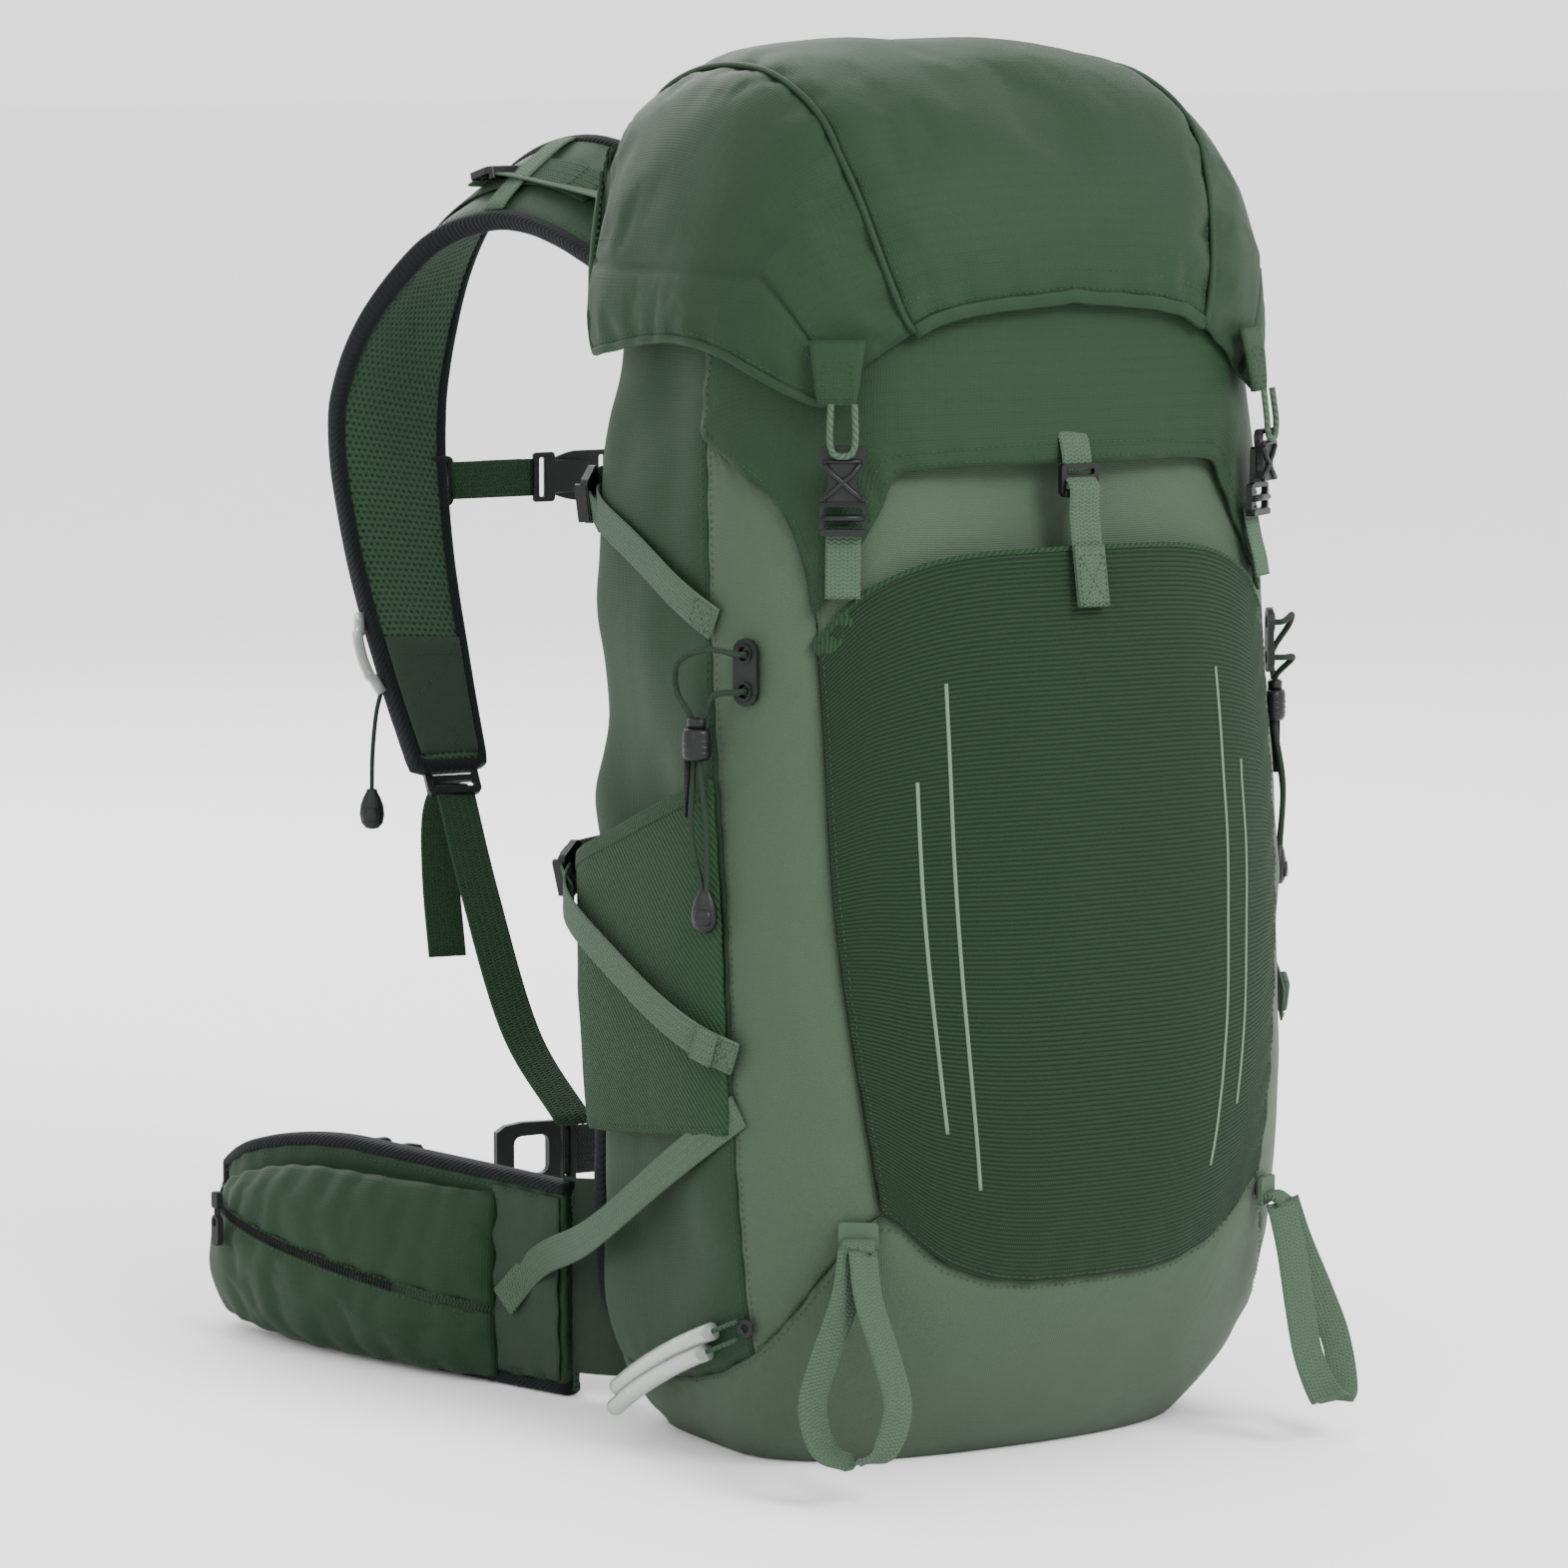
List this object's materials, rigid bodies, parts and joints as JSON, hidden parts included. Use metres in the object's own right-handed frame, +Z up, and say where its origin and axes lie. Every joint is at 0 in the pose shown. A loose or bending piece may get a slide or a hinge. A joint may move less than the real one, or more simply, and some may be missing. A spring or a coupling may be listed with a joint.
{
  "type": "hiking backpack",
  "caption": "Top-loading hiking backpack with hinged lid, stretch front and side pockets, padded shoulder harness, hip belt with pockets, and compression straps.",
  "frame": {"origin": "centre of the flat underside of the bag's base", "axes": "+Z up the pack, -Y out of its front, +Y towards the wearer, +X across the pack to the right as seen from the front"},
  "size_m": [0.4036, 0.5931, 0.612],
  "materials": {
    "pack_green_nylon": "matte",
    "sage_coated_nylon": "semi-matte",
    "green_stretch_knit": "ribbed knit",
    "sage_webbing": "woven",
    "mesh_faced_foam": "mesh",
    "black_acetal": "satin",
    "clear_tube": "satin",
    "frame_alloy": "satin",
    "frame_plastic": "satin"
  },
  "bodies": {
    "bag": {"base_panel": "sage_coated_nylon", "front_panel": "sage_coated_nylon", "gusset_left": "sage_coated_nylon", "gusset_right": "sage_coated_nylon", "side_panel_left": "pack_green_nylon", "side_panel_right": "pack_green_nylon", "back_panel": "pack_green_nylon", "upper_front_panel": "pack_green_nylon", "collar": "pack_green_nylon", "frame_sheet": "frame_plastic", "frame_stay": "frame_alloy", "back_pad": "mesh_faced_foam", "front_pocket": "green_stretch_knit", "side_pocket_left": "green_stretch_knit", "side_pocket_right": "green_stretch_knit", "upper_strap_left": "sage_webbing", "upper_strap_right": "sage_webbing", "lower_strap_left": "sage_webbing", "lower_strap_right": "sage_webbing", "lash_plate_left": "black_acetal", "lash_plate_right": "black_acetal", "pole_tube": "clear_tube", "lid_webbing_left": "sage_webbing", "lid_webbing_right": "sage_webbing", "front_buckle": "black_acetal", "front_webbing": "sage_webbing", "shoulder_strap_left": "mesh_faced_foam", "shoulder_strap_right": "mesh_faced_foam", "lower_webbing_left": "pack_green_nylon", "lower_webbing_right": "pack_green_nylon", "sternum_webbing_left": "pack_green_nylon", "sternum_webbing_right": "pack_green_nylon", "sternum_socket": "black_acetal", "sternum_plug": "black_acetal"},
    "lid": {"lid_top": "pack_green_nylon", "lid_side_left": "pack_green_nylon", "lid_side_right": "pack_green_nylon", "lid_base": "pack_green_nylon", "lid_socket_left": "black_acetal", "lid_socket_right": "black_acetal", "lid_cord_left": "sage_webbing", "lid_cord_right": "sage_webbing"},
    "lid_plug_left": {"lid_plug_left": "black_acetal"},
    "lid_plug_right": {"lid_plug_right": "black_acetal"},
    "hip_wing_left": {"hip_wing_left": "mesh_faced_foam", "hip_pocket_left": "pack_green_nylon", "hip_webbing_left": "black_acetal", "hip_buckle_plug": "black_acetal"},
    "hip_wing_right": {"hip_wing_right": "mesh_faced_foam", "hip_pocket_right": "pack_green_nylon", "hip_webbing_right": "black_acetal", "hip_buckle_socket": "black_acetal"},
    "zip_pull_left": {"zip_pull_left": "black_acetal"},
    "zip_pull_right": {"zip_pull_right": "black_acetal"},
    "axe_loop_left": {"axe_loop_left": "sage_webbing"},
    "axe_loop_right": {"axe_loop_right": "sage_webbing"},
    "haul_loop": {"haul_loop": "black_acetal"}
  },
  "joints": [
    {"name": "lid_hinge", "type": "hinge", "parent": "bag", "child": "lid", "pos_m": [0, 0.106, 0.566], "axis": [-1, 0, 0], "range_deg": [0, 100]},
    {"name": "lid_buckle_slide_left", "type": "slide", "parent": "bag", "child": "lid_plug_left", "axis": [0, 0, -1], "range_m": [0, 0.02], "deforming": ["lid_webbing_left"]},
    {"name": "lid_buckle_slide_right", "type": "slide", "parent": "bag", "child": "lid_plug_right", "axis": [0, 0, -1], "range_m": [0, 0.02], "deforming": ["lid_webbing_right"]},
    {"name": "hip_wing_hinge_left", "type": "hinge", "parent": "bag", "child": "hip_wing_left", "pos_m": [-0.114, 0.128, 0.05], "axis": [0, 0, 1], "range_deg": [0, 35]},
    {"name": "hip_wing_hinge_right", "type": "hinge", "parent": "bag", "child": "hip_wing_right", "pos_m": [0.114, 0.128, 0.05], "axis": [0, 0, -1], "range_deg": [0, 35]},
    {"name": "zip_slide_left", "type": "slide", "parent": "hip_wing_left", "child": "zip_pull_left", "axis": [0.08, -0.9854, -0.1501], "range_m": [0, 0.075]},
    {"name": "zip_slide_right", "type": "slide", "parent": "hip_wing_right", "child": "zip_pull_right", "axis": [-0.08, -0.9854, -0.1501], "range_m": [0, 0.075]},
    {"name": "axe_loop_swing_left", "type": "hinge", "parent": "bag", "child": "axe_loop_left", "pos_m": [-0.10998, -0.10608, 0.106], "axis": [-0.8232, 0.5678, 0], "range_deg": [0, 60]},
    {"name": "axe_loop_swing_right", "type": "hinge", "parent": "bag", "child": "axe_loop_right", "pos_m": [0.10998, -0.10608, 0.106], "axis": [-0.8232, -0.5678, 0], "range_deg": [0, 60]},
    {"name": "haul_loop_swing", "type": "hinge", "parent": "bag", "child": "haul_loop", "pos_m": [0, 0.1035, 0.512], "axis": [-1, 0, 0], "range_deg": [0, 60]}
  ]
}
